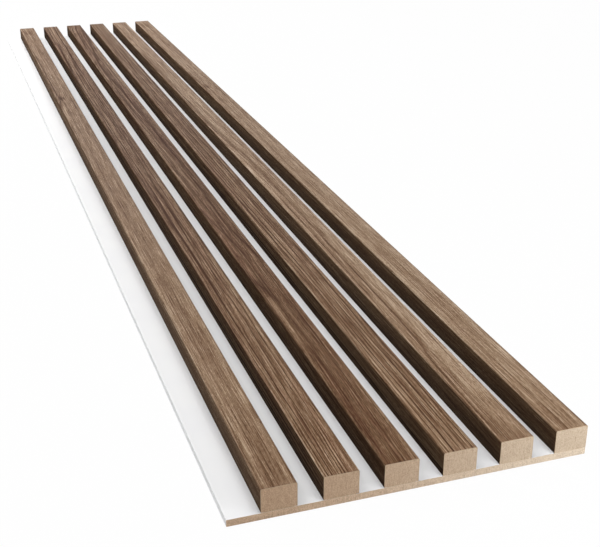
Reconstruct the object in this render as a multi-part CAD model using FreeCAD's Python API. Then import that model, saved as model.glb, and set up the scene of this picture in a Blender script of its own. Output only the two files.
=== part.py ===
import FreeCAD, Part
import os

# Acoustic slat wall panel: fibreboard slats in a walnut wrap, glued to a white-faced backing board.
# Millimetres. X runs across the slats, Y along them, Z out of the wall.
# The origin is the middle of the board's back, which lies on the wall.

V = FreeCAD.Vector

# Backing board, its face foil included
panel_length = 1750.0
board_thickness = 6.0
left_margin = 26.5
board_edge_radius = 0.3
foil_thickness = 0.3
foil_trim = 0.5

# Slats, their wrap included
slat_count = 6
slat_width = 28.5
slat_height = 20.5
slat_gap = 20.5
bar_edge_radius = 0.8
wrap_thickness = 0.4

# Glue line under each slat
glue_thickness = 0.2
glue_inset = 2.0

# Places that follow from the sizes above
slat_pitch = slat_width + slat_gap
panel_width = left_margin + (slat_count - 1) * slat_pitch + slat_width
panel_left = -panel_width / 2
panel_right = panel_width / 2
near_end = -panel_length / 2
slat_bottom = board_thickness + glue_thickness
slat_top = slat_bottom + slat_height


def arch(left, right, foot, top, radius):
    """Edges of an open outline: up the left side, over two rounded corners, down the right side."""
    corner = radius * (1 - 0.5 ** 0.5)
    shoulder = top - radius
    curves = [
        Part.LineSegment(V(left, near_end, foot), V(left, near_end, shoulder)),
        Part.Arc(
            V(left, near_end, shoulder),
            V(left + corner, near_end, top - corner),
            V(left + radius, near_end, top),
        ),
        Part.LineSegment(V(left + radius, near_end, top), V(right - radius, near_end, top)),
        Part.Arc(
            V(right - radius, near_end, top),
            V(right - corner, near_end, top - corner),
            V(right, near_end, shoulder),
        ),
        Part.LineSegment(V(right, near_end, shoulder), V(right, near_end, foot)),
    ]
    return [curve.toShape() for curve in curves]


def foot_line(start_x, end_x, foot):
    """Edge that closes an outline along its foot."""
    return Part.LineSegment(V(start_x, near_end, foot), V(end_x, near_end, foot)).toShape()


def run_full_length(edges):
    """Solid with the closed outline as its section, from one end of the panel to the other."""
    section = Part.Face(Part.Wire(Part.sortEdges(edges)[0]))
    return section.extrude(V(0, panel_length, 0))


def bar(left, right, foot, top, radius):
    """Solid bar with its two top edges rounded."""
    return run_full_length(arch(left, right, foot, top, radius) + [foot_line(left, right, foot)])


def folded_sheet(left, right, foot, top, radius, thickness):
    """Sheet folded over a bar: its inside is the bar's own outline, its outside one thickness away."""
    inside = arch(left, right, foot, top, radius)
    outside = arch(left - thickness, right + thickness, foot, top + thickness, radius + thickness)
    feet = [foot_line(left - thickness, left, foot), foot_line(right, right + thickness, foot)]
    return run_full_length(inside + outside + feet)


def backing_board():
    """Bare fibreboard under the face foil."""
    left = panel_left + foil_thickness
    right = panel_right - foil_thickness
    return bar(left, right, 0, board_thickness - foil_thickness, board_edge_radius)


def board_face_foil():
    """White foil over the face and both long edges, trimmed just short of the back."""
    left = panel_left + foil_thickness
    right = panel_right - foil_thickness
    core_top = board_thickness - foil_thickness
    return folded_sheet(left, right, foil_trim, core_top, board_edge_radius, foil_thickness)


def slat_left(number):
    """Left side of a slat, counted from 1 beside the wide margin."""
    return panel_left + left_margin + (number - 1) * slat_pitch


def core_sides(number):
    """Left and right sides of the bare bar inside a slat's wrap."""
    left = slat_left(number) + wrap_thickness
    return left, left + slat_width - 2 * wrap_thickness


def slat_core(number):
    """Bare fibreboard bar."""
    left, right = core_sides(number)
    return bar(left, right, slat_bottom, slat_top - wrap_thickness, bar_edge_radius)


def slat_walnut_wrap(number):
    """Walnut decor folded over the top and both sides of the bar, down to its bottom edges."""
    left, right = core_sides(number)
    core_top = slat_top - wrap_thickness
    return folded_sheet(left, right, slat_bottom, core_top, bar_edge_radius, wrap_thickness)


def slat_glue_line(number):
    """Film of glue between the face foil and the bar, kept in from the bar's sides."""
    left, right = core_sides(number)
    width = right - left - 2 * glue_inset
    corner = V(left + glue_inset, near_end, board_thickness)
    return Part.makeBox(width, panel_length, glue_thickness, corner)


os.makedirs("parts", exist_ok=True)

backing_board().exportStep("parts/backing_board.step")
board_face_foil().exportStep("parts/board_face_foil.step")
for slat in range(1, slat_count + 1):
    slat_core(slat).exportStep(f"parts/slat_{slat}_core.step")
    slat_walnut_wrap(slat).exportStep(f"parts/slat_{slat}_walnut_wrap.step")
    slat_glue_line(slat).exportStep(f"parts/slat_{slat}_glue_line.step")
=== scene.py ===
"""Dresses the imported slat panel: walnut wraps, bare fibreboard, white foil, glue lines and a plain studio."""

import math
from typing import NamedTuple

import bpy
from bpy.props import FloatProperty, FloatVectorProperty, IntProperty, PointerProperty
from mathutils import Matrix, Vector


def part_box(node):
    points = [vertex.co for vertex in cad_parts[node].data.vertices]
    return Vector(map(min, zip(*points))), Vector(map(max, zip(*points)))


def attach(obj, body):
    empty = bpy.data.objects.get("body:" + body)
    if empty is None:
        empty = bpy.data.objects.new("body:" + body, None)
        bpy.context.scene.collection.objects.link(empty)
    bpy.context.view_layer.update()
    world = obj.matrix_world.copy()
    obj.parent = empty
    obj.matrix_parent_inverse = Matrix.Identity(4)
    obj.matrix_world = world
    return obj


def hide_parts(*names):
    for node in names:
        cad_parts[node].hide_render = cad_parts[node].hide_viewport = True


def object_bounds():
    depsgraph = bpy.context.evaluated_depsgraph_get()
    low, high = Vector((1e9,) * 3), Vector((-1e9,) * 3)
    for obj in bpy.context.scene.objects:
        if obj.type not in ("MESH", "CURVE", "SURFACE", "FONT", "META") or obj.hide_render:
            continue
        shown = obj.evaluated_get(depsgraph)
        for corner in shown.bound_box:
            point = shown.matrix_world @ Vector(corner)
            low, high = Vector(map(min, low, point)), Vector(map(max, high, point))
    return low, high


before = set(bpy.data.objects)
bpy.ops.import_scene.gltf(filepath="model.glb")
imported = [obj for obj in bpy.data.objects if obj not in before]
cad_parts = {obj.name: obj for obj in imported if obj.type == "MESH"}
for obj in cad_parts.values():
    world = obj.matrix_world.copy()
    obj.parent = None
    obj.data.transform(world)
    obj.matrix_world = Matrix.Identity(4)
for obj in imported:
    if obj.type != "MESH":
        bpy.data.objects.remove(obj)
CAD_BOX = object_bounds()

bl_info = {
    "name": "Slat Panel Finishes",
    "version": (1, 0, 0),
    "blender": (4, 5, 0),
    "location": "3D View > Sidebar > Slat Panel",
    "description": "Walnut wraps, bare fibreboard, white foil and a studio for a slat wall panel",
    "category": "Object",
}

BODY = "root"
SLATS = range(1, 7)
MM = 1000.0
GRAIN_MAP = "grain"
BAKE_MAP = "OFBake"
CUT_EDGE = "cut_edge"

# How far a face leans to an axis to count as facing along it, and the angle that makes an edge sharp
FACING = 0.5
SHARP_ANGLE = math.radians(40)


def srgb(red, green, blue):
    """Linear colour of a screen colour given from 0 to 255."""
    parts = (red / 255, green / 255, blue / 255)
    return tuple(p / 12.92 if p <= 0.04045 else ((p + 0.055) / 1.055) ** 2.4 for p in parts)


# Node expressions

class Value:
    """A node's output that takes part in Python expressions, each of which adds a Math node."""

    def __init__(self, graph, socket):
        self.graph = graph
        self.socket = socket

    def out(self, name):
        """Another output of the same node."""
        return Value(self.graph, self.socket.node.outputs[name])

    def math(self, operation, *others):
        return self.graph.math(operation, self, *others)

    def __add__(self, other):
        return self.math("ADD", other)

    __radd__ = __add__

    def __sub__(self, other):
        return self.math("SUBTRACT", other)

    def __rsub__(self, other):
        return self.graph.math("SUBTRACT", other, self)

    def __mul__(self, other):
        return self.math("MULTIPLY", other)

    __rmul__ = __mul__

    def __truediv__(self, other):
        return self.math("DIVIDE", other)

    def __neg__(self):
        return self.math("MULTIPLY", -1.0)

    def __abs__(self):
        return self.math("ABSOLUTE")

    def __lt__(self, other):
        return self.math("LESS_THAN", other)

    def __gt__(self, other):
        return self.math("GREATER_THAN", other)

    def floor(self):
        return self.math("FLOOR")

    def exp(self):
        return self.math("EXPONENT")

    def most(self, other):
        return self.math("MAXIMUM", other)

    def least(self, other):
        return self.math("MINIMUM", other)

    def ease(self, low, high):
        """Rises smoothly from 0 at low to 1 at high."""
        settings = {"interpolation_type": "SMOOTHSTEP"}
        sockets = {"Value": self, "From Min": low, "From Max": high}
        return self.graph.node("ShaderNodeMapRange", settings, sockets)

    def bell(self, width):
        """1 where the value is 0, falling to 1/e one width away on either side."""
        share = self / width
        return (-(share * share)).exp()


class Graph:
    """A node tree that nodes and expressions are added to."""

    def __init__(self, tree):
        self.tree = tree

    def plug(self, socket, value):
        if isinstance(value, Value):
            self.tree.links.new(value.socket, socket)
        else:
            socket.default_value = value

    def node(self, kind, settings=None, sockets=None, out=0):
        """Adds a node: its settings are set first, then the values or links of its sockets."""
        made = self.tree.nodes.new(kind)
        for name, setting in (settings or {}).items():
            if name == "points":
                set_curve(made.mapping, setting)
            elif name == "stops":
                set_ramp(made.color_ramp, setting)
            elif name == "items":
                for _ in range(setting - len(made.index_switch_items)):
                    made.index_switch_items.new()
            else:
                setattr(made, name, setting)
        for key, value in (sockets or {}).items():
            self.plug(made.inputs[key], value)
        return Value(self, made.outputs[out]) if made.outputs else None

    def math(self, operation, *values):
        return self.node("ShaderNodeMath", {"operation": operation}, dict(enumerate(values)))

    def vector(self, x=0.0, y=0.0, z=0.0):
        return self.node("ShaderNodeCombineXYZ", None, {"X": x, "Y": y, "Z": z})

    def noise(self, place, detail=2.0, roughness=0.5):
        """Smooth noise from 0 to 1 with features one unit long."""
        sockets = {"Vector": place, "Scale": 1.0, "Detail": detail, "Roughness": roughness}
        return self.node("ShaderNodeTexNoise", None, sockets)

    def curve(self, value, points):
        """Smooth curve through points whose both parts run from 0 to 1."""
        return self.node("ShaderNodeFloatCurve", {"points": points}, {"Value": value})

    def mix(self, factor, first, second, blend="MIX"):
        """Colour between the first, at factor 0, and the second, at factor 1."""
        settings = {"data_type": "RGBA", "blend_type": blend}
        sockets = {0: factor, 6: opaque(first), 7: opaque(second)}
        return self.node("ShaderNodeMix", settings, sockets, out=2)


def opaque(colour):
    """A colour as sockets take it: a link as it is, three numbers with an alpha of 1."""
    return colour if isinstance(colour, Value) else (*colour, 1.0)


def set_curve(mapping, points):
    """Sets a float curve's points, of which a new one has two."""
    line = mapping.curves[0]
    for _ in range(len(points) - len(line.points)):
        line.points.new(0.5, 0.5)
    for point, place in zip(line.points, points, strict=True):
        point.location = place
    mapping.update()


def set_ramp(ramp, stops):
    """Sets a colour ramp's stops, of which a new one has two."""
    for element, (place, colour) in zip(ramp.elements, (stops[0], stops[-1]), strict=True):
        element.position = place
        element.color = opaque(colour)
    for place, colour in stops[1:-1]:
        ramp.elements.new(place).color = opaque(colour)


def new_finish(name):
    """An empty material and its graph."""
    material = bpy.data.materials.new(name)
    material.use_nodes = True
    material.node_tree.nodes.clear()
    return material, Graph(material.node_tree)


def surface(graph, colour, roughness, height, bump_mm, specular=0.5):
    """Ends a material in a Principled shader with a bump of a real height."""
    bump = graph.node("ShaderNodeBump", None, {"Strength": 1.0, "Distance": bump_mm / MM, "Height": height})
    sockets = {
        "Base Color": colour,
        "Roughness": roughness,
        "Specular IOR Level": specular,
        "Normal": bump,
    }
    shader = graph.node("ShaderNodeBsdfPrincipled", None, sockets)
    graph.node("ShaderNodeOutputMaterial", None, {"Surface": shader})


# Walnut

class Vein(NamedTuple):
    """A line in the walnut through (mm from the near end, share of the width) points.

    Its depth is how much darker it is than the wood around it, and is below 0 for a pale streak.
    """

    points: tuple
    width_mm: float
    depth: float


class Figure(NamedTuple):
    """What sets one slat's walnut apart: curves are (share of the length, value) points."""

    seed: float
    shade: tuple
    red: float
    spacing_mm: float
    line_depth: float
    sway: tuple
    veins: tuple = ()
    knot: float = 0.0
    left_shade: float = 1.0
    right_shade: float = 1.0


class Pattern(NamedTuple):
    """Noise stretched along the grain: its features' width and length, its own seed and its fine detail."""

    width_mm: float
    length_mm: float
    seed: float
    detail: float = 2.0
    roughness: float = 0.5


RIPPLE = Pattern(20.0, 220.0, 0.0)
GROUPS = Pattern(9.0, 900.0, 3.0)
PATCHES = Pattern(6.0, 900.0, 9.0)
FIBRE = Pattern(0.45, 40.0, 20.0, 3.0, 0.6)
THREAD = Pattern(0.8, 200.0, 30.0)
DASHES = Pattern(0.3, 5.0, 40.0, 1.0)
CLOUD = Pattern(7.0, 800.0, 50.0, 2.0, 0.55)
BLUSH = Pattern(5.0, 300.0, 60.0)

# How far the grain is pushed aside, and the knot's place and size
RIPPLE_PUSH_MM = 4.5
KNOT_ALONG_MM = 1150.0
KNOT_ACROSS_MM = 4.0
KNOT_LENGTH_MM = 26.0
KNOT_WIDTH_MM = 9.0
KNOT_PUSH_MM = 4.0
HEART_LENGTH_MM = 9.0
HEART_WIDTH_MM = 4.0
HEART_SHIFT_MM = 5.0

# Growth lines: where in a turn they darken and end, their grouping, and the finer ones between them
LINE_START = 0.45
LINE_DARKEST = 0.8
LINE_END = 0.86
LINE_FAINTEST = 0.1
GROUP_TURNS = 3.0
PATCH_EDGES = (0.3, 0.7)
PATCH_FAINTEST = 0.4
FINE_START = 0.5
FINE_RATE = 2.3
FINE_OFFSET = 0.37
FINE_SHARE = 0.7

# Shares of the length between which lines and threads grow clearer, and how clear they get
LINES_CLEARER = (0.45, 0.75)
LINES_NEAR = 0.75
LINES_GAIN = 0.4
THREADS_CLEARER = (0.4, 0.8)
THREADS_GAIN = 1.2
DASH_EDGES = (0.56, 0.72)

# Veins: how much they wander, the haze beside them, and how they fade in and out along the length
WOBBLE_MM = 55.0
WOBBLE_PUSH_MM = 1.2
HAZE_SHARE = 0.25
HAZE_SHIFT = 1.5
HAZE_WIDTH = 2.6
TIP_OUTER = 0.01
TIP_INNER = 0.02

# How much each part of the figure darkens the wood, and how the colour ramp takes it
FIBRE_DEPTH = 3.0
LINE_DEPTH = 0.95
LINE_MEAN_DEPTH = 0.135
VEIN_DEPTH = 1.1
HEART_DEPTH = 0.7
PORE_DEPTH = 0.45
FLECK_DEPTH = 0.4
RAMP_START = 0.135
RAMP_PER_DEPTH = 0.636
BLUSH_EDGES = (0.4, 0.72)
BLUSH_SHARE = 0.48

# Sides: where the fold turns to a side, and the painted shade on them: its common depth, and its fade from
# painted light at the top to painted shade at the foot
FOLD_MM = (-0.6, 1.2)
OUTER_SHADE = 0.8
SIDE_SHADE_DEPTH = 0.55
SIDE_SHADE_DEPTH_SHARE = 0.7
SIDE_TOP_PAINTED_LIGHT = 0.35
SIDE_FOOT_PAINTED_SHADE = 0.95

# Surface of the walnut
WALNUT_ROUGHNESS = 0.45
FIBRE_ROUGHNESS = 0.16
PORE_ROUGHNESS = 0.1
SIDE_ROUGHNESS = 0.55
DEPTH_ROUGHNESS = 0.15
FIBRE_RELIEF = 0.5
LINE_RELIEF = 0.4
WALNUT_RELIEF_MM = 0.05
WALNUT_SHINE = 0.16
SHINE_LOSS = 0.11

FIGURES = (
    Figure(
        seed=3.1, shade=((0.0, 0.52), (0.17, 0.48), (0.4, 0.65), (0.69, 0.58), (0.94, 0.6), (1.0, 0.59)),
        red=0.25, spacing_mm=2.6, line_depth=0.6, sway=((0.0, 0.5), (0.4, 0.46), (0.7, 0.5), (1.0, 0.42)),
        veins=(
            Vein(((0, 0.5), (60, 0.48), (130, 0.5)), 2.2, 0.3),
            Vein(((0, 0.2), (60, 0.22), (200, 0.28)), 2.6, -0.2),
            Vein(((990, 0.05), (1050, 0.1), (1110, 0.2)), 1.8, -0.35),
            Vein(((1090, 0.0), (1120, 0.06), (1150, 0.17), (1180, 0.12), (1300, 0.12), (1480, 0.1)),
                 0.9, 0.7),
        ),
        knot=1.0, left_shade=OUTER_SHADE,
    ),
    Figure(
        seed=17.7, shade=((0.0, 0.65), (0.17, 0.71), (0.4, 0.94), (0.69, 0.9), (0.94, 0.84), (1.0, 0.81)),
        red=0.75, spacing_mm=3.7, line_depth=2.2, sway=((0.0, 0.45), (0.3, 0.52), (0.65, 0.42), (1.0, 0.62)),
        veins=(
            Vein(((40, 0.02), (150, 0.08), (400, 0.12), (700, 0.1), (1000, 0.06)), 2.6, 0.22),
            Vein(((0, 0.31), (95, 0.38), (190, 0.55), (300, 0.61), (356, 0.51), (412, 0.6), (600, 0.5)),
                 0.8, 0.5),
            Vein(((110, 0.21), (195, 0.31), (300, 0.38), (356, 0.31), (450, 0.45), (600, 0.48)), 0.8, 0.5),
            Vein(((200, 0.74), (300, 0.8), (350, 0.69), (490, 0.85), (600, 0.9)), 0.8, 0.5),
            Vein(((500, 0.48), (700, 0.54), (880, 0.6), (1000, 0.5), (1100, 0.4), (1190, 0.38), (1330, 0.42),
                  (1400, 0.5), (1470, 0.6), (1560, 0.7)), 1.0, 0.6),
            Vein(((1000, 0.2), (1090, 0.12), (1170, 0.05), (1300, 0.07), (1420, 0.12), (1520, 0.25),
                  (1600, 0.32)), 1.1, 0.5),
        ),
    ),
    Figure(
        seed=29.3, shade=((0.0, 0.79), (0.17, 0.88), (0.4, 0.83), (0.69, 0.84), (0.94, 0.9), (1.0, 0.88)),
        red=1.0, spacing_mm=6.0, line_depth=0.65, sway=((0.0, 0.4), (0.25, 0.6), (0.75, 0.3), (1.0, 0.8)),
        veins=(
            Vein(((0, 0.06), (100, 0.2), (150, 0.27), (270, 0.32), (320, 0.28), (345, 0.1), (365, 0.0)),
                 0.9, 0.4),
            Vein(((300, 0.32), (335, 0.16), (370, 0.05)), 3.2, 0.5),
            Vein(((210, 0.12), (270, 0.17), (330, 0.12)), 1.8, -0.35),
            Vein(((400, 0.55), (422, 0.45), (456, 0.35), (512, 0.18), (580, 0.0)), 0.8, 0.5),
            Vein(((395, 0.9), (445, 0.8), (482, 0.68), (512, 0.62), (700, 0.65), (775, 0.67), (820, 0.6),
                  (1000, 0.6), (1100, 0.5), (1190, 0.43), (1330, 0.27), (1400, 0.33), (1470, 0.5),
                  (1590, 0.78), (1660, 0.86), (1750, 0.94)), 1.2, 0.65),
            Vein(((1000, 0.28), (1090, 0.2), (1180, 0.1)), 1.0, 0.45),
            Vein(((1480, 0.03), (1520, 0.15), (1600, 0.32)), 1.1, 0.5),
        ),
    ),
    Figure(
        seed=41.9, shade=((0.0, 0.61), (0.17, 0.62), (0.4, 0.94), (0.69, 1.0), (0.94, 0.86), (1.0, 0.83)),
        red=0.5, spacing_mm=3.6, line_depth=2.2, sway=((0.0, 0.5), (0.3, 0.56), (0.6, 0.5), (1.0, 0.56)),
        veins=(
            Vein(((0, 0.93), (350, 0.97), (880, 0.9), (1300, 0.95), (1750, 0.97)), 1.8, 0.25),
            Vein(((190, 0.36), (225, 0.4), (265, 0.44)), 2.4, 0.3),
            Vein(((0, 0.57), (52, 0.47), (150, 0.44), (230, 0.47), (322, 0.49), (450, 0.61), (600, 0.64)),
                 0.8, 0.5),
            Vein(((0, 0.67), (112, 0.67), (225, 0.77), (320, 0.84), (450, 0.85)), 0.8, 0.5),
            Vein(((195, 0.1), (300, 0.17), (375, 0.14), (490, 0.24), (600, 0.22)), 0.8, 0.5),
        ),
    ),
    Figure(
        seed=57.2, shade=((0.0, 0.58), (0.17, 0.31), (0.4, 0.4), (0.69, 0.43), (0.94, 0.49), (1.0, 0.48)),
        red=0.3, spacing_mm=3.4, line_depth=0.6,
        sway=((0.0, 0.5), (0.12, 0.62), (0.4, 0.68), (0.53, 0.4), (1.0, 0.36)),
        veins=(
            Vein(((0, 0.2), (75, 0.1), (107, 0.14), (140, 0.2), (200, 0.35), (400, 0.41), (570, 0.45),
                  (740, 0.45), (795, 0.33), (850, 0.22), (900, 0.14), (1000, 0.13), (1190, 0.15),
                  (1330, 0.1), (1450, 0.04)), 1.2, 0.5),
            Vein(((232, 0.0), (262, 0.09), (325, 0.12), (410, 0.16), (600, 0.2)), 0.9, 0.55),
            Vein(((0, 0.88), (40, 0.9), (80, 0.94)), 1.0, 0.4),
        ),
    ),
    Figure(
        seed=3.1, shade=((0.0, 0.4), (0.17, 0.32), (0.4, 0.46), (0.69, 0.45), (0.94, 0.49), (1.0, 0.48)),
        red=0.2, spacing_mm=2.6, line_depth=0.6, sway=((0.0, 0.5), (0.4, 0.46), (0.7, 0.5), (1.0, 0.42)),
        veins=(Vein(((1100, 0.0), (1130, 0.06), (1150, 0.14), (1180, 0.08), (1260, 0.04)), 0.9, 0.5),),
        knot=0.6, right_shade=OUTER_SHADE,
    ),
)


def pattern_noise(graph, pattern, across, along, seed):
    """A pattern's noise at a place in mm across and along the grain."""
    place = graph.vector(across / pattern.width_mm, along / pattern.length_mm, seed + pattern.seed)
    return graph.noise(place, pattern.detail, pattern.roughness)


def growth_lines(graph, turns, start):
    """Lines one turn apart, dark on one side, each with its own strength."""
    number = turns.floor()
    phase = turns - number
    strength = graph.node("ShaderNodeTexWhiteNoise", {"noise_dimensions": "1D"}, {"W": number})
    strength = LINE_FAINTEST + strength * (1 - LINE_FAINTEST)
    return phase.ease(start, LINE_DARKEST) * (1 - phase.ease(LINE_END, 1.0)) * strength


def walnut_finish(name, figure, size, colours):
    """Walnut decor whose grain runs along the slat and folds over its edges with the wrap."""
    material, g = new_finish(name)
    place = g.node("ShaderNodeUVMap", {"uv_map": GRAIN_MAP})
    place = g.node("ShaderNodeSeparateXYZ", None, {"Vector": place})
    width = size.x * MM
    height = size.z * MM
    length = size.y * MM
    across = place.out("X") * MM + width / 2
    along = place.out("Y") * MM
    share = along / length
    seed = figure.seed

    # The grain's own direction, with the lines pushed aside at a knot
    from_knot = along - KNOT_ALONG_MM
    beside_knot = across - KNOT_ACROSS_MM
    push = from_knot.bell(KNOT_LENGTH_MM) * beside_knot.bell(KNOT_WIDTH_MM) * (KNOT_PUSH_MM * figure.knot)
    sway = (g.curve(share, figure.sway) - 0.5) * width
    ripple = pattern_noise(g, RIPPLE, across, along, seed) - 0.5
    grain = across - sway + ripple * RIPPLE_PUSH_MM + push

    # Growth lines in uneven groups, with finer ones between them
    uneven = pattern_noise(g, GROUPS, grain, along, seed) - 0.5
    turns = grain / figure.spacing_mm + uneven * GROUP_TURNS + seed
    patchy = pattern_noise(g, PATCHES, grain, along, seed).ease(*PATCH_EDGES)
    patchy = PATCH_FAINTEST + patchy * (1 - PATCH_FAINTEST)
    clearer = LINES_NEAR + share.ease(*LINES_CLEARER) * LINES_GAIN
    fine_turns = turns * FINE_RATE + FINE_OFFSET
    lines = growth_lines(g, turns, LINE_START) + growth_lines(g, fine_turns, FINE_START) * FINE_SHARE
    lines = lines * patchy * clearer * figure.line_depth

    # Fine fibres and open pores
    fibre = pattern_noise(g, FIBRE, grain, along, seed) - 0.5
    thread = pattern_noise(g, THREAD, grain, along, seed) - 0.5
    thread = thread * (1 + share.ease(*THREADS_CLEARER) * THREADS_GAIN)
    dash = pattern_noise(g, DASHES, grain, along, seed)
    pores = dash.ease(*DASH_EDGES)
    flecks = (1 - dash).ease(*DASH_EDGES)

    # Veins and pale streaks drawn through given points
    wobble = (g.noise(g.vector(along / WOBBLE_MM, seed, 0.0)) - 0.5) * WOBBLE_PUSH_MM
    veins = 0.0
    for vein in figure.veins:
        points = [(mm / length, spot) for mm, spot in vein.points]
        off = across - g.curve(share, points) * width + wobble
        line = off.bell(vein.width_mm) * (1 - HAZE_SHARE)
        haze = (off - vein.width_mm * HAZE_SHIFT).bell(vein.width_mm * HAZE_WIDTH) * HAZE_SHARE
        start = points[0][0]
        end = points[-1][0]
        begun = share.ease(start - TIP_OUTER, start + TIP_INNER)
        over = share.ease(end - TIP_INNER, end + TIP_OUTER)
        veins = veins + (line + haze) * begun * (1 - over) * vein.depth
    heart = from_knot.bell(HEART_LENGTH_MM) * (beside_knot - HEART_SHIFT_MM).bell(HEART_WIDTH_MM)
    heart = heart * figure.knot

    # Painted shade: the sides are darker than the top, and differ less from slat to slat
    down_left = -across
    down_right = across - width
    painted_shade_share = down_left.ease(*FOLD_MM) * figure.left_shade + down_right.ease(*FOLD_MM) * figure.right_shade
    down = down_left.most(down_right).most(0.0) / height
    shade = g.curve(share, figure.shade)
    shade = shade + (SIDE_SHADE_DEPTH - shade) * painted_shade_share * SIDE_SHADE_DEPTH_SHARE

    # Tone, from pale to dark, and its colour, with painted shade over the sides that is lighter at their top
    # and darker towards their foot
    cloud = pattern_noise(g, CLOUD, grain, along, seed) - 0.5
    depth = shade + cloud + thread + fibre * FIBRE_DEPTH + lines * LINE_DEPTH + veins * VEIN_DEPTH
    depth = depth + heart * HEART_DEPTH + pores * PORE_DEPTH - flecks * FLECK_DEPTH
    depth = depth - figure.line_depth * LINE_MEAN_DEPTH
    stops = (
        (0.0, colours.walnut_pale), (0.15, colours.walnut_light), (0.45, colours.walnut_mid),
        (0.75, colours.walnut_dark), (1.0, colours.walnut_vein),
    )
    wood = g.node("ShaderNodeValToRGB", {"stops": stops}, {"Fac": depth * RAMP_PER_DEPTH + RAMP_START})
    blush = pattern_noise(g, BLUSH, grain, along, seed).ease(*BLUSH_EDGES)
    wood = g.mix(blush * (figure.red * BLUSH_SHARE), wood, colours.walnut_red, blend="MULTIPLY")
    # Painted shade multiplied over the sides
    wood = g.mix(painted_shade_share, wood, colours.painted_side_shade, blend="MULTIPLY")
    # Painted light near the top of the sides, painted shade towards their foot
    fade = 1 + painted_shade_share * (SIDE_TOP_PAINTED_LIGHT - down * SIDE_FOOT_PAINTED_SHADE)
    wood = g.node("ShaderNodeVectorMath", {"operation": "SCALE"}, {0: wood, "Scale": fade})
    cut = g.node("ShaderNodeAttribute", {"attribute_name": CUT_EDGE}, None, out="Fac")
    wood = g.mix(cut, wood, colours.cut_edge)

    # Darker wood is duller: rougher within a slat, and with a lower specular level from slat to slat
    usual_depth = sum(tone for _, tone in figure.shade) / len(figure.shade)
    roughness = WALNUT_ROUGHNESS + fibre * FIBRE_ROUGHNESS + pores * PORE_ROUGHNESS + painted_shade_share * SIDE_ROUGHNESS
    roughness = roughness + (depth - usual_depth) * DEPTH_ROUGHNESS
    relief = fibre * FIBRE_RELIEF - pores - lines * LINE_RELIEF
    shine = WALNUT_SHINE - usual_depth * SHINE_LOSS
    surface(g, wood, roughness, relief, WALNUT_RELIEF_MM, specular=shine)
    return material


class WrapSizes(bpy.types.PropertyGroup):
    """Sizes of the walnut wrap on each slat."""

    thickness: FloatProperty(
        name="Thickness", description="Thickness of the walnut wrap", default=0.0004, unit="LENGTH",
        precision=5,
    )
    fold_radius: FloatProperty(
        name="Fold radius", description="Outside radius of the folded edges", default=0.0012, unit="LENGTH",
        precision=5,
    )
    fold_steps: IntProperty(name="Fold steps", description="Points in each rounded fold", default=6, min=2)
    bake_rows: IntProperty(
        name="Texture rows", description="Rows that the length is laid out in on its texture", default=4,
        min=1,
    )
    row_steps: IntProperty(
        name="Steps in a row", description="Faces along each of those rows", default=8, min=1
    )


# A wrap's texture, as shares of a row or of the whole: where each kind of face starts and how much it takes
ROW_START, ROW_SHARE = 0.005, 0.93
OUTSIDE_START, OUTSIDE_SHARE = 0.02, 0.84
INSIDE_START, INSIDE_SHARE = 0.875, 0.08
SOLE_START, SOLE_SHARE = 0.98, 0.01
LEFT_SOLE_SHIFT = 0.028
END_START, END_SHARE = 0.95, 0.045
END_LOW, END_HEIGHT = 0.05, 0.4
FAR_END_SHIFT = 0.5


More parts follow.
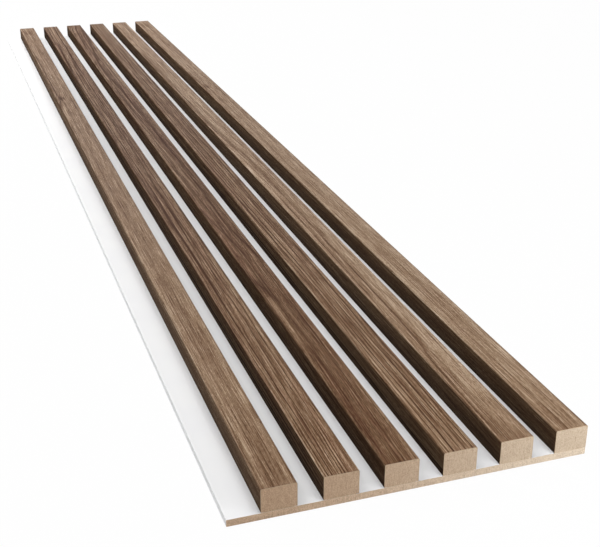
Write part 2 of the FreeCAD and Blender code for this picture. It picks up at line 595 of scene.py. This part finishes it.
def wrap_tree():
    """Geometry nodes that sweep a folded sheet's section along the slat and lay out its texture maps."""
    tree = bpy.data.node_groups.new("walnut_wrap", "GeometryNodeTree")
    for name in ("Left", "Right", "Foot", "Top", "Near", "Far", "Thickness", "Fold Radius"):
        tree.interface.new_socket(name=name, in_out="INPUT", socket_type="NodeSocketFloat")
    for name in ("Fold Steps", "Rows", "Row Steps"):
        tree.interface.new_socket(name=name, in_out="INPUT", socket_type="NodeSocketInt")
    tree.interface.new_socket(name="Finish", in_out="INPUT", socket_type="NodeSocketMaterial")
    tree.interface.new_socket(name="Wrap", in_out="OUTPUT", socket_type="NodeSocketGeometry")
    g = Graph(tree)
    given = g.node("NodeGroupInput")
    left, right, foot, top, near, far, thick, radius = (
        given.out(name)
        for name in ("Left", "Right", "Foot", "Top", "Near", "Far", "Thickness", "Fold Radius")
    )
    rows = given.out("Rows")

    # Section: up the outside, over the top and down, then back along the inside
    low = -foot
    corners = [
        (left, low), (left, -top), (right, -top), (right, low),
        (right - thick, low), (right - thick, thick - top), (left + thick, thick - top), (left + thick, low),
    ]
    radii = [0.0, radius, radius, 0.0, 0.0, radius - thick, radius - thick, 0.0]
    index = g.node("GeometryNodeInputIndex")
    many = len(corners)
    places = {n + 1: g.vector(x, y) for n, (x, y) in enumerate(corners)}
    place = g.node("GeometryNodeIndexSwitch", {"data_type": "VECTOR", "items": many}, {0: index, **places})
    bend = {n + 1: r for n, r in enumerate(radii)}
    bend = g.node("GeometryNodeIndexSwitch", {"data_type": "FLOAT", "items": many}, {0: index, **bend})
    section = g.node("GeometryNodeMeshLine", None, {"Count": many})
    section = g.node("GeometryNodeSetPosition", None, {"Geometry": section, "Position": place})
    section = g.node("GeometryNodeMeshToCurve", None, {"Mesh": section})
    section = g.node("GeometryNodeSetSplineCyclic", None, {"Geometry": section, "Cyclic": True})
    fillet = {"Curve": section, "Radius": bend, "Count": given.out("Fold Steps")}
    section = g.node("GeometryNodeFilletCurve", {"mode": "POLY"}, fillet)
    girth = g.node("GeometryNodeSplineParameter").out("Length")
    section = g.node(
        "GeometryNodeStoreNamedAttribute", {"data_type": "FLOAT", "domain": "POINT"},
        {"Geometry": section, "Name": "girth", "Value": girth},
    )

    # Sweep from the near end to the far end
    ends = {"Start": g.vector(0.0, near, 0.0), "End": g.vector(0.0, far, 0.0)}
    path = g.node("GeometryNodeCurvePrimitiveLine", None, ends)
    rings = rows * given.out("Row Steps") + 1
    path = g.node("GeometryNodeResampleCurve", {"mode": "COUNT"}, {"Curve": path, "Count": rings})
    sweep = {"Curve": path, "Profile Curve": section, "Fill Caps": True}
    sheet = g.node("GeometryNodeCurveToMesh", None, sweep)

    # Distance round the fold from the middle of the top, the same on the inside as on the outside
    girth = g.node("GeometryNodeInputNamedAttribute", {"data_type": "FLOAT"}, {"Name": "girth"})
    run = (top - foot) * 2 + (right - left) - radius * (4 - math.pi)
    across = (run + thick) / 2 - abs(girth - run - thick / 2)
    spot = g.node("GeometryNodeInputPosition")
    spot = g.node("ShaderNodeSeparateXYZ", None, {"Vector": spot})
    x, y, z = spot.out("X"), spot.out("Y"), spot.out("Z")
    facing = g.node("ShaderNodeSeparateXYZ", None, {"Vector": g.node("GeometryNodeInputNormal")})

    def on_face(value):
        return g.node("GeometryNodeFieldOnDomain", {"domain": "FACE", "data_type": "FLOAT"}, {0: value})

    # Texture layout: the length in rows, with the hidden faces in narrow bands and the cut ends beside them
    end = on_face(abs(facing.out("Y")) > FACING)
    sole = on_face((facing.out("Z") < -FACING) * (z < foot + thick / 2))
    inside = on_face(girth) > run
    step = (far - near) / rows
    row = ((on_face(y) - near) / step).floor()
    lengthways = ((y - near) / step - row) * ROW_SHARE + ROW_START
    round_fold = across / run + 0.5
    from_left = (x - left) / thick
    from_right = (right - x) / thick
    lane_out = round_fold * OUTSIDE_SHARE + OUTSIDE_START
    lane_in = round_fold * INSIDE_SHARE + INSIDE_START
    on_left = x < (left + right) / 2
    lane_sole = on_left * (from_left * SOLE_SHARE - LEFT_SOLE_SHIFT)
    lane_sole = lane_sole + from_right.least(1.0) * SOLE_SHARE + SOLE_START
    lane = lane_out + inside * (lane_in - lane_out)
    lane = lane + sole * (lane_sole - lane)
    end_u = (x - left) / (right - left) * END_SHARE + END_START
    end_v = (z - foot) / (top - foot) * END_HEIGHT + END_LOW + (y > (near + far) / 2) * FAR_END_SHIFT
    bake_u = lengthways + end * (end_u - lengthways)
    bake_v = (row + lane) / rows
    bake_v = bake_v + end * (end_v - bake_v)

    def keep(geometry, name, kind, domain, value):
        settings = {"data_type": kind, "domain": domain}
        sockets = {"Geometry": geometry, "Name": name, "Value": value}
        return g.node("GeometryNodeStoreNamedAttribute", settings, sockets)

    sheet = keep(sheet, GRAIN_MAP, "FLOAT2", "CORNER", g.vector(across, y - near))
    sheet = keep(sheet, BAKE_MAP, "FLOAT2", "CORNER", g.vector(bake_u, bake_v))
    sheet = keep(sheet, CUT_EDGE, "FLOAT", "FACE", end)
    sheet = g.node("GeometryNodeRealizeInstances", None, {"Geometry": sheet})
    sheet = g.node("GeometryNodeSetMaterial", None, {"Geometry": sheet, "Material": given.out("Finish")})
    g.node("NodeGroupOutput", None, {"Wrap": sheet})
    return tree


def grow(name, tree, values):
    """A plain mesh object from a geometry tree, with its inputs given by name."""
    piece = bpy.data.objects.new(name, bpy.data.meshes.new(name))
    bpy.context.scene.collection.objects.link(piece)
    modifier = piece.modifiers.new("shape", "NODES")
    modifier.node_group = tree
    for item in tree.interface.items_tree:
        if item.in_out == "INPUT":
            modifier[item.identifier] = values[item.name]
    depsgraph = bpy.context.evaluated_depsgraph_get()
    mesh = bpy.data.meshes.new_from_object(piece.evaluated_get(depsgraph), depsgraph=depsgraph)
    piece.modifiers.clear()
    piece.data = mesh
    return piece


# Fibreboard, foil and glue

# Fibreboard's features in mm across, along and up the panel, and how much each darkens it
FLECK_MM = (0.4, 0.6, 0.4)
CLUMP_MM = (4.5, 6.0, 2.6)
SPECK_MM = (0.5, 0.5, 0.42)
SAW_MARK_MM = (0.45, 9.0)
SPECK_EDGES = (0.64, 0.76)
BOARD_MEAN_DEPTH = 0.4
BOARD_FLECK_DEPTH = 1.5
CLUMP_DEPTH = 0.15
SPECK_DEPTH = 0.2
SAW_DEPTH = 0.5
BOARD_ROUGHNESS = 0.82
FLECK_ROUGHNESS = 0.15
FLECK_RELIEF = 0.8
SAW_RELIEF = 0.4
BOARD_RELIEF_MM = 0.07
BOARD_SHINE = 0.3

# Foil and glue
SOFT_EDGES = (0.3, 0.7)
SHEEN_MM = 50.0
FOIL_ROUGHNESS = 0.5
SHEEN_ROUGHNESS = 0.15
PEEL_ROUGHNESS = 0.08
FOIL_RELIEF_MM = 0.01
FOIL_SHINE = 0.35
BUBBLES_PER_MM = 0.8
BUBBLE_EDGES = (0.1, 0.3)
GLUE_ROUGHNESS = 0.4
CLOUD_ROUGHNESS = 0.2
GLUE_RELIEF_MM = 0.05


def scaled(graph, place, scale):
    """A place with each of its parts times scale."""
    return graph.node("ShaderNodeVectorMath", {"operation": "SCALE"}, {0: place, "Scale": scale})


def fibreboard_finish(name, colour, colours, seed):
    """Bare medium-density fibreboard: pressed fibres, darker specks and faint saw marks.

    It has painted shade towards the panel's left edge, which makes it warmer and darker there.
    """
    material, g = new_finish(name)
    place = g.node("ShaderNodeTexCoord", None, None, out="Object")
    spot = scaled(g, place, MM)
    shifted = g.node("ShaderNodeVectorMath", {"operation": "ADD"}, {0: spot, 1: (seed, seed, seed)})
    parts = g.node("ShaderNodeSeparateXYZ", None, {"Vector": shifted})
    x, y, z = parts.out("X"), parts.out("Y"), parts.out("Z")

    def feature(size_mm, detail, roughness=0.5):
        wide, long, high = size_mm
        return g.noise(g.vector(x / wide, y / long, z / high), detail, roughness)

    fleck = feature(FLECK_MM, 3.0, 0.6) - 0.5
    clump = feature(CLUMP_MM, 2.0) - 0.5
    speck = feature(SPECK_MM, 1.0).ease(*SPECK_EDGES)
    saw_wide, saw_high = SAW_MARK_MM
    saw = g.noise(g.vector(x / saw_wide, 0.0, z / saw_high), 1.0) - 0.5
    depth = fleck * BOARD_FLECK_DEPTH + clump * CLUMP_DEPTH + speck * SPECK_DEPTH + saw * SAW_DEPTH
    depth = (depth + BOARD_MEAN_DEPTH).ease(0.0, 1.0)
    board = g.mix(depth, colour, colours.fibreboard_dark)
    # Painted shade: warmer and darker towards the panel's left edge
    sideways = g.node("ShaderNodeSeparateXYZ", None, {"Vector": place}).out("X")
    to_right = sideways.ease(CAD_BOX[0].x, CAD_BOX[1].x)
    board = g.mix(1 - to_right, board, colours.fibreboard_left_shade, blend="MULTIPLY")
    relief = fleck * FLECK_RELIEF - speck + saw * SAW_RELIEF
    surface(g, board, BOARD_ROUGHNESS + fleck * FLECK_ROUGHNESS, relief, BOARD_RELIEF_MM, BOARD_SHINE)
    return material


def foil_finish(name, colours):
    """Smooth white foil with a faint grain, a slow change of sheen and dusty sawn ends."""
    material, g = new_finish(name)
    place = g.node("ShaderNodeTexCoord", None, None, out="Object")
    facing = g.node("ShaderNodeSeparateXYZ", None, {"Vector": place.out("Normal")})
    sawn = abs(facing.out("Y")) > FACING
    spot = scaled(g, place, MM)
    peel = g.noise(spot)
    sheen = g.noise(scaled(g, spot, 1 / SHEEN_MM))
    white = g.mix(sheen.ease(*SOFT_EDGES), colours.foil, colours.foil_shade)
    white = g.mix(sawn, white, colours.foil_edge)
    roughness = FOIL_ROUGHNESS + (sheen - 0.5) * SHEEN_ROUGHNESS + (peel - 0.5) * PEEL_ROUGHNESS
    surface(g, white, roughness, peel, FOIL_RELIEF_MM, FOIL_SHINE)
    return material


def glue_finish(name, colours):
    """Set glue: milky amber with a few small bubbles."""
    material, g = new_finish(name)
    place = g.node("ShaderNodeTexCoord", None, None, out="Object")
    spot = scaled(g, place, MM)
    cloud = g.noise(spot)
    cells = {"Vector": spot, "Scale": BUBBLES_PER_MM}
    bubbles = g.node("ShaderNodeTexVoronoi", None, cells, out="Distance").ease(*BUBBLE_EDGES)
    amber = g.mix(cloud.ease(*SOFT_EDGES), colours.glue, colours.glue_dark)
    surface(g, amber, GLUE_ROUGHNESS + cloud * CLOUD_ROUGHNESS, bubbles, GLUE_RELIEF_MM)
    return material


def colour_setting(name, description, default):
    """A colour that the sidebar shows."""
    return FloatVectorProperty(
        name=name, description=description, subtype="COLOR", default=default, min=0, max=1
    )


class PanelColours(bpy.types.PropertyGroup):
    """Colours of the panel's finishes."""

    walnut_pale: colour_setting("Walnut pale", "Palest flecks", srgb(200, 178, 155))
    walnut_light: colour_setting("Walnut light", "Early wood", srgb(169, 145, 118))
    walnut_mid: colour_setting("Walnut", "Body of the walnut", srgb(128, 100, 75))
    walnut_dark: colour_setting("Walnut dark", "Dark growth lines", srgb(90, 61, 37))
    walnut_vein: colour_setting("Walnut vein", "Darkest veins", srgb(62, 37, 19))
    walnut_red: colour_setting("Walnut blush", "Reddish patches laid over the wood", srgb(222, 188, 178))
    # Painted shade that darkens the slats' sides
    painted_side_shade: colour_setting("Side shade", "Darkening laid over the slats' sides", (0.3, 0.265, 0.22))
    cut_edge: colour_setting("Wrap edge", "Sawn edge of the wrap", srgb(184, 160, 134))
    slat_board: colour_setting("Slat fibreboard", "Bare bar inside a slat", srgb(212, 195, 172))
    back_board: colour_setting("Backing fibreboard", "Bare backing board", srgb(237, 222, 200))
    fibreboard_dark: colour_setting("Fibreboard dark", "Darker fibres and specks", srgb(131, 104, 80))
    # Painted shade laid over the fibreboard towards the left edge
    fibreboard_left_shade: colour_setting(
        "Fibreboard warmth", "Warmer tone laid over the fibreboard towards the left edge", (1.0, 0.85, 0.75)
    )
    foil: colour_setting("Foil", "White face foil", srgb(245, 245, 245))
    foil_shade: colour_setting("Foil shade", "Slightly duller patches of the foil", srgb(243, 243, 244))
    foil_edge: colour_setting(
        "Foil edge", "Sawn ends of the foil, with the board's dust on them", srgb(208, 190, 168)
    )
    glue: colour_setting("Glue", "Set glue", srgb(190, 164, 130))
    glue_dark: colour_setting("Glue dark", "Thicker places in the glue", srgb(168, 142, 108))


# Studio

class Lamp(NamedTuple):
    """A soft rectangular lamp: where it stands, where it points, its sides in metres and its power."""

    name: str
    place: tuple
    aim: tuple
    sides: tuple
    watts: float


LAMPS = (
    Lamp("back_softbox", (-1.18, 1.18, 1.99), (0.0, 0.0, 0.0), (1.4, 1.4), 53.0),
    Lamp("right_softbox", (0.63, -0.63, 2.44), (0.0, 0.0, 0.0), (1.4, 1.4), 13.0),
    Lamp("near_softbox", (0.0, -0.9, 1.2), (0.0, -0.9, 0.0), (0.6, 0.6), 4.1),
    Lamp("far_softbox", (0.0, 0.98, 0.55), (0.0, 0.93, 0.0), (0.5, 0.5), 1.15),
    Lamp("corner_softbox", (0.353, -1.226, 0.119), (0.15, -0.875, 0.01), (0.25, 0.25), 1.86),
)


WHITE = (1.0, 1.0, 1.0)
SHADOWS_FADE_M = (1.5, 6.0)


class StudioSettings(bpy.types.PropertyGroup):
    """Floor, surrounding light and camera."""

    ambient: FloatProperty(
        name="Surrounding light", description="Strength of the light from all round", default=0.12, min=0
    )
    floor_side: FloatProperty(
        name="Floor side", description="Length of the square floor's sides", default=14.0, unit="LENGTH"
    )
    floor_gap: FloatProperty(
        name="Floor gap", description="Drop from the panel's back to the floor", default=0.0003,
        unit="LENGTH", precision=5,
    )
    floor_colour: colour_setting("Floor", "Pale floor", srgb(222, 222, 222))
    floor_glow: FloatProperty(
        name="Floor white", description="How far the floor shows as plain white to the camera", default=0.98,
        subtype="FACTOR", min=0, max=1,
    )
    camera_place: FloatVectorProperty(
        name="Camera", description="Where the camera stands", subtype="TRANSLATION",
        default=(-0.3087, -1.5105, 0.4924),
    )
    camera_turn: FloatProperty(
        name="Turn", description="Camera's turn to the right from looking along the slats", subtype="ANGLE",
        default=math.radians(18.74),
    )
    camera_tilt: FloatProperty(
        name="Tilt", description="Camera's tilt down from level", subtype="ANGLE", default=math.radians(23.97)
    )
    lens: FloatProperty(name="Lens", description="Focal length on a 36 mm wide frame, in mm", default=65.61)


def seen_directly(graph):
    """1 for rays from the camera, from gloss and through glass, 0 for light that lands on surfaces."""
    path = graph.node("ShaderNodeLightPath")
    return path.out("Is Camera Ray").most(path.out("Is Glossy Ray")).most(path.out("Is Transmission Ray"))


def make_world(studio):
    world = bpy.data.worlds.new("studio")
    world.use_nodes = True
    world.node_tree.nodes.clear()
    g = Graph(world.node_tree)
    direct = seen_directly(g)
    strength = direct * (1.0 - studio.ambient) + studio.ambient
    light = g.node("ShaderNodeBackground", None, {"Color": opaque(WHITE), "Strength": strength})
    g.node("ShaderNodeOutputWorld", None, {"Surface": light})
    bpy.context.scene.world = world


def make_floor(studio):
    half = studio.floor_side / 2
    level = CAD_BOX[0].z - studio.floor_gap
    mesh = bpy.data.meshes.new("floor")
    corners = [(-half, -half, level), (half, -half, level), (half, half, level), (-half, half, level)]
    mesh.from_pydata(corners, [], [(0, 1, 2, 3)])
    floor = bpy.data.objects.new("floor", mesh)
    bpy.context.scene.collection.objects.link(floor)
    material, g = new_finish("floor")
    pale = g.node("ShaderNodeBsdfDiffuse", None, {"Color": opaque(studio.floor_colour)})
    white = g.node("ShaderNodeEmission", None, {"Color": opaque(WHITE), "Strength": 1.0})
    place = g.node("ShaderNodeTexCoord", None, None, out="Object")
    away = g.node("ShaderNodeVectorMath", {"operation": "LENGTH"}, {0: place}, out="Value")
    shaded = (1 - studio.floor_glow) * (1 - away.ease(*SHADOWS_FADE_M))
    share = seen_directly(g) * (1 - shaded)
    shader = g.node("ShaderNodeMixShader", None, {0: share, 1: pale, 2: white})
    g.node("ShaderNodeOutputMaterial", None, {"Surface": shader})
    mesh.materials.append(material)


def make_lamp(lamp):
    data = bpy.data.lights.new(lamp.name, "AREA")
    data.shape = "RECTANGLE"
    data.size, data.size_y = lamp.sides
    data.energy = lamp.watts
    light = bpy.data.objects.new(lamp.name, data)
    light.location = lamp.place
    light.visible_camera = False
    towards = Vector(lamp.aim) - Vector(lamp.place)
    light.rotation_euler = towards.to_track_quat("-Z", "Y").to_euler()
    bpy.context.scene.collection.objects.link(light)


def make_camera(studio):
    data = bpy.data.cameras.new("camera")
    data.lens = studio.lens
    camera = bpy.data.objects.new("camera", data)
    camera.location = studio.camera_place
    camera.rotation_euler = (math.pi / 2 - studio.camera_tilt, 0.0, -studio.camera_turn)
    bpy.context.scene.collection.objects.link(camera)
    bpy.context.scene.camera = camera


# Operators

def dress(node, material):
    """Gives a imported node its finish."""
    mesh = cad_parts[node].data
    mesh.materials.clear()
    mesh.materials.append(material)


class SLATPANEL_OT_walnut_wraps(bpy.types.Operator):
    """Fold a walnut wrap over each slat"""

    bl_idname = "slat_panel.walnut_wraps"
    bl_label = "Walnut Wraps"

    def execute(self, context):
        settings = context.scene.slat_panel
        tree = wrap_tree()
        for number, figure in zip(SLATS, FIGURES, strict=True):
            node = f"slat_{number}_walnut_wrap"
            low, high = (Vector(corner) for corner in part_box(node))
            finish = walnut_finish(f"walnut_{number}", figure, high - low, settings.colours)
            wrap = grow(f"walnut_wrap_{number}", tree, {
                "Left": low.x, "Right": high.x, "Foot": low.z, "Top": high.z, "Near": low.y, "Far": high.y,
                "Thickness": settings.wrap.thickness, "Fold Radius": settings.wrap.fold_radius,
                "Fold Steps": settings.wrap.fold_steps, "Rows": settings.wrap.bake_rows,
                "Row Steps": settings.wrap.row_steps, "Finish": finish,
            })
            wrap.data.shade_smooth()
            wrap.data.set_sharp_from_angle(angle=SHARP_ANGLE)
            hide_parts(node)
            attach(wrap, BODY)
        return {"FINISHED"}


class SLATPANEL_OT_fibreboard(bpy.types.Operator):
    """Finish the backing board and the slats' bars as bare fibreboard"""

    bl_idname = "slat_panel.fibreboard"
    bl_label = "Fibreboard"

    def execute(self, context):
        colours = context.scene.slat_panel.colours
        dress("backing_board", fibreboard_finish("backing_fibreboard", colours.back_board, colours, 31.0))
        slat_board = fibreboard_finish("slat_fibreboard", colours.slat_board, colours, 7.0)
        for number in SLATS:
            dress(f"slat_{number}_core", slat_board)
        return {"FINISHED"}


class SLATPANEL_OT_face_foil(bpy.types.Operator):
    """Finish the board's face and edges as white foil"""

    bl_idname = "slat_panel.face_foil"
    bl_label = "Face Foil"

    def execute(self, context):
        dress("board_face_foil", foil_finish("white_foil", context.scene.slat_panel.colours))
        return {"FINISHED"}


class SLATPANEL_OT_glue_lines(bpy.types.Operator):
    """Finish the glue under each slat"""

    bl_idname = "slat_panel.glue_lines"
    bl_label = "Glue Lines"

    def execute(self, context):
        glue = glue_finish("set_glue", context.scene.slat_panel.colours)
        for number in SLATS:
            dress(f"slat_{number}_glue_line", glue)
        return {"FINISHED"}


class SLATPANEL_OT_stage(bpy.types.Operator):
    """Set up the floor, the lamps and the camera"""

    bl_idname = "slat_panel.stage"
    bl_label = "Studio"

    def execute(self, context):
        studio = context.scene.slat_panel.studio
        make_world(studio)
        make_floor(studio)
        for lamp in LAMPS:
            make_lamp(lamp)
        make_camera(studio)
        context.scene.view_settings.view_transform = "Standard"
        return {"FINISHED"}


class SlatPanelSettings(bpy.types.PropertyGroup):
    """Everything about the panel's look that can be changed."""

    wrap: PointerProperty(type=WrapSizes)
    colours: PointerProperty(type=PanelColours)
    studio: PointerProperty(type=StudioSettings)


STEPS = (
    SLATPANEL_OT_walnut_wraps,
    SLATPANEL_OT_fibreboard,
    SLATPANEL_OT_face_foil,
    SLATPANEL_OT_glue_lines,
    SLATPANEL_OT_stage,
)


class SLATPANEL_PT_sidebar(bpy.types.Panel):
    """The panel's pieces and settings in the 3D view's sidebar"""

    bl_idname = "SLATPANEL_PT_sidebar"
    bl_label = "Slat Panel"
    bl_space_type = "VIEW_3D"
    bl_region_type = "UI"
    bl_category = "Slat Panel"

    def draw(self, context):
        settings = context.scene.slat_panel
        for step in STEPS:
            self.layout.operator(step.bl_idname)
        for group in (settings.wrap, settings.colours, settings.studio):
            box = self.layout.box()
            for name in group.__annotations__:
                box.prop(group, name)


CLASSES = (WrapSizes, PanelColours, StudioSettings, SlatPanelSettings, *STEPS, SLATPANEL_PT_sidebar)


def register():
    for cls in CLASSES:
        bpy.utils.register_class(cls)
    bpy.types.Scene.slat_panel = PointerProperty(type=SlatPanelSettings)


def unregister():
    del bpy.types.Scene.slat_panel
    for cls in reversed(CLASSES):
        bpy.utils.unregister_class(cls)


def main():
    register()
    bpy.ops.slat_panel.walnut_wraps()
    bpy.ops.slat_panel.fibreboard()
    bpy.ops.slat_panel.face_foil()
    bpy.ops.slat_panel.glue_lines()
    bpy.ops.slat_panel.stage()


if __name__ == "__main__":
    main()
